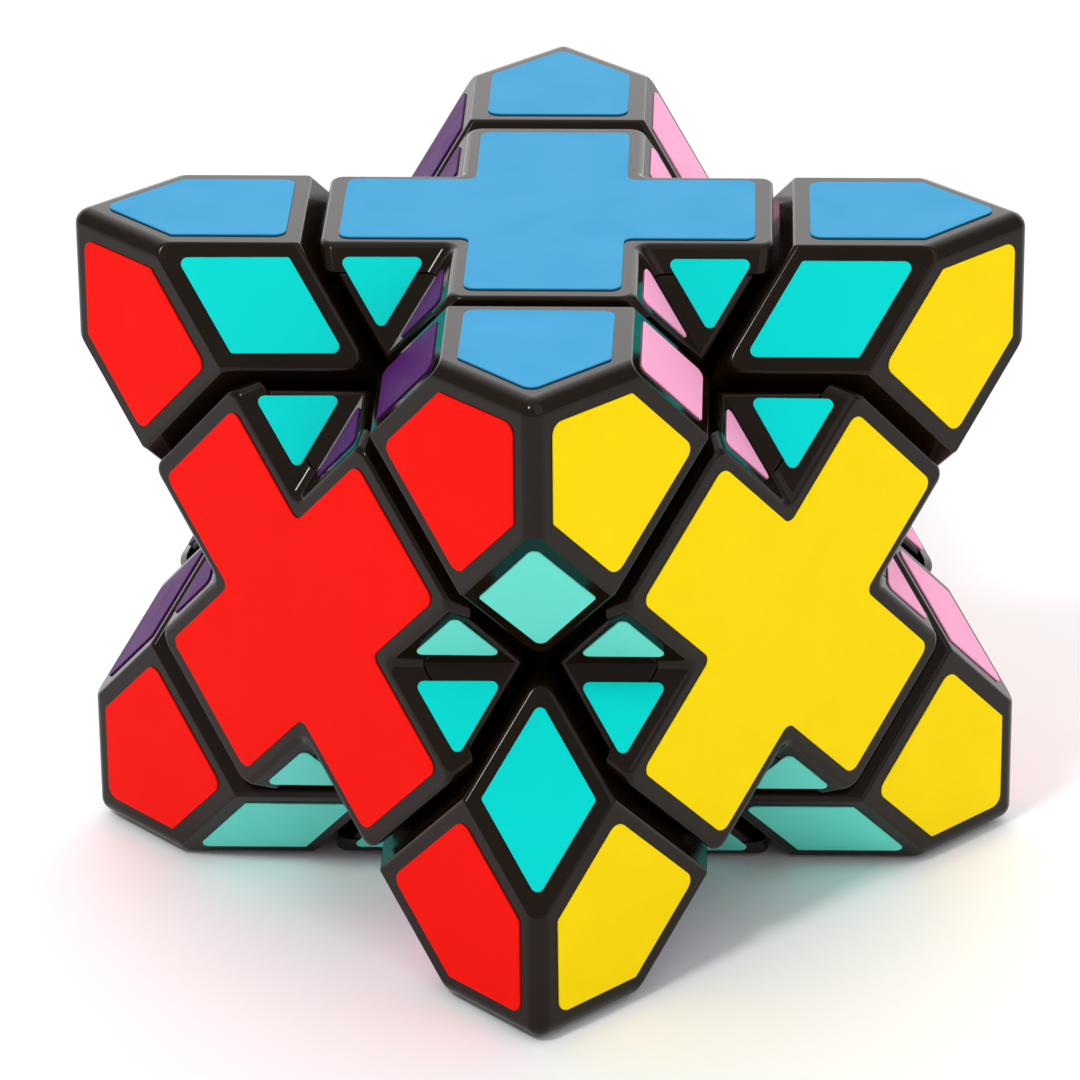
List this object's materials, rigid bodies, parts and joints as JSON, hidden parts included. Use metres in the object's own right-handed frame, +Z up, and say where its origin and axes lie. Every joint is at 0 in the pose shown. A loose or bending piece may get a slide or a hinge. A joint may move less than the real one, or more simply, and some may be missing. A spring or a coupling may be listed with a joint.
{
  "type": "twisty puzzle",
  "caption": "Star-shaped twisty puzzle with black pieces and coloured stickers; one half turns against the other about a corner-to-corner axis.",
  "frame": {"origin": "under the middle of the bottom face, on the surface the puzzle rests on", "axes": "+Z up; the cube faces of the outer shape look along +X, -X, +Y, -Y, +Z and -Z"},
  "size_m": [0.062, 0.062, 0.062],
  "materials": {
    "black_plastic": "glossy moulded black",
    "inner_plastic": "smooth, unpolished",
    "core_plastic": "smooth, unpolished",
    "steel": "zinc plated",
    "spring_steel": "bright wire",
    "sticker_blue": "glossy vinyl film",
    "sticker_green": "glossy vinyl film",
    "sticker_red": "glossy vinyl film",
    "sticker_orange": "glossy vinyl film",
    "sticker_yellow": "glossy vinyl film",
    "sticker_white": "glossy vinyl film",
    "sticker_teal": "glossy vinyl film",
    "sticker_purple": "glossy vinyl film",
    "sticker_pink": "glossy vinyl film",
    "sticker_mint": "glossy vinyl film"
  },
  "bodies": {
    "fixed_half": {"core": "core_plastic", "screw_top_back_right": "steel", "spring_top_back_right": "spring_steel", "washer_top_back_right": "steel", "screw_bottom_front_right": "steel", "spring_bottom_front_right": "spring_steel", "washer_bottom_front_right": "steel", "hub_bottom_front_right": "inner_plastic", "corner_shell_bottom_front_right": "black_plastic", "screw_bottom_back_left": "steel", "spring_bottom_back_left": "spring_steel", "washer_bottom_back_left": "steel", "hub_bottom_back_left": "inner_plastic", "corner_shell_bottom_back_left": "black_plastic", "screw_top_front_left": "steel", "spring_top_front_left": "spring_steel", "washer_top_front_left": "steel", "hub_top_front_left": "inner_plastic", "corner_shell_top_front_left": "black_plastic", "corner_foot_bottom_front_left": "inner_plastic", "corner_shell_bottom_front_left": "black_plastic", "centre_base_bottom": "black_plastic", "centre_cap_bottom": "black_plastic", "cross_sticker_bottom": "sticker_green", "centre_base_front": "black_plastic", "centre_cap_front": "black_plastic", "cross_sticker_front": "sticker_red", "centre_base_left": "black_plastic", "centre_cap_left": "black_plastic", "cross_sticker_left": "sticker_white"},
    "turning_half": {"hub_top_back_right": "inner_plastic", "corner_shell_top_back_right": "black_plastic", "corner_foot_top_front_right": "inner_plastic", "corner_shell_top_front_right": "black_plastic", "corner_foot_top_back_left": "inner_plastic", "corner_shell_top_back_left": "black_plastic", "corner_foot_bottom_back_right": "inner_plastic", "corner_shell_bottom_back_right": "black_plastic", "centre_base_top": "black_plastic", "centre_cap_top": "black_plastic", "cross_sticker_top": "sticker_blue", "centre_base_back": "black_plastic", "centre_cap_back": "black_plastic", "cross_sticker_back": "sticker_orange", "centre_base_right": "black_plastic", "centre_cap_right": "black_plastic", "cross_sticker_right": "sticker_yellow"}
  },
  "joints": [
    {"name": "half_twist", "type": "hinge", "parent": "fixed_half", "child": "turning_half", "pos_m": [0, 0, 0.031], "axis": [0.5774, 0.5774, 0.5774], "continuous": true}
  ]
}
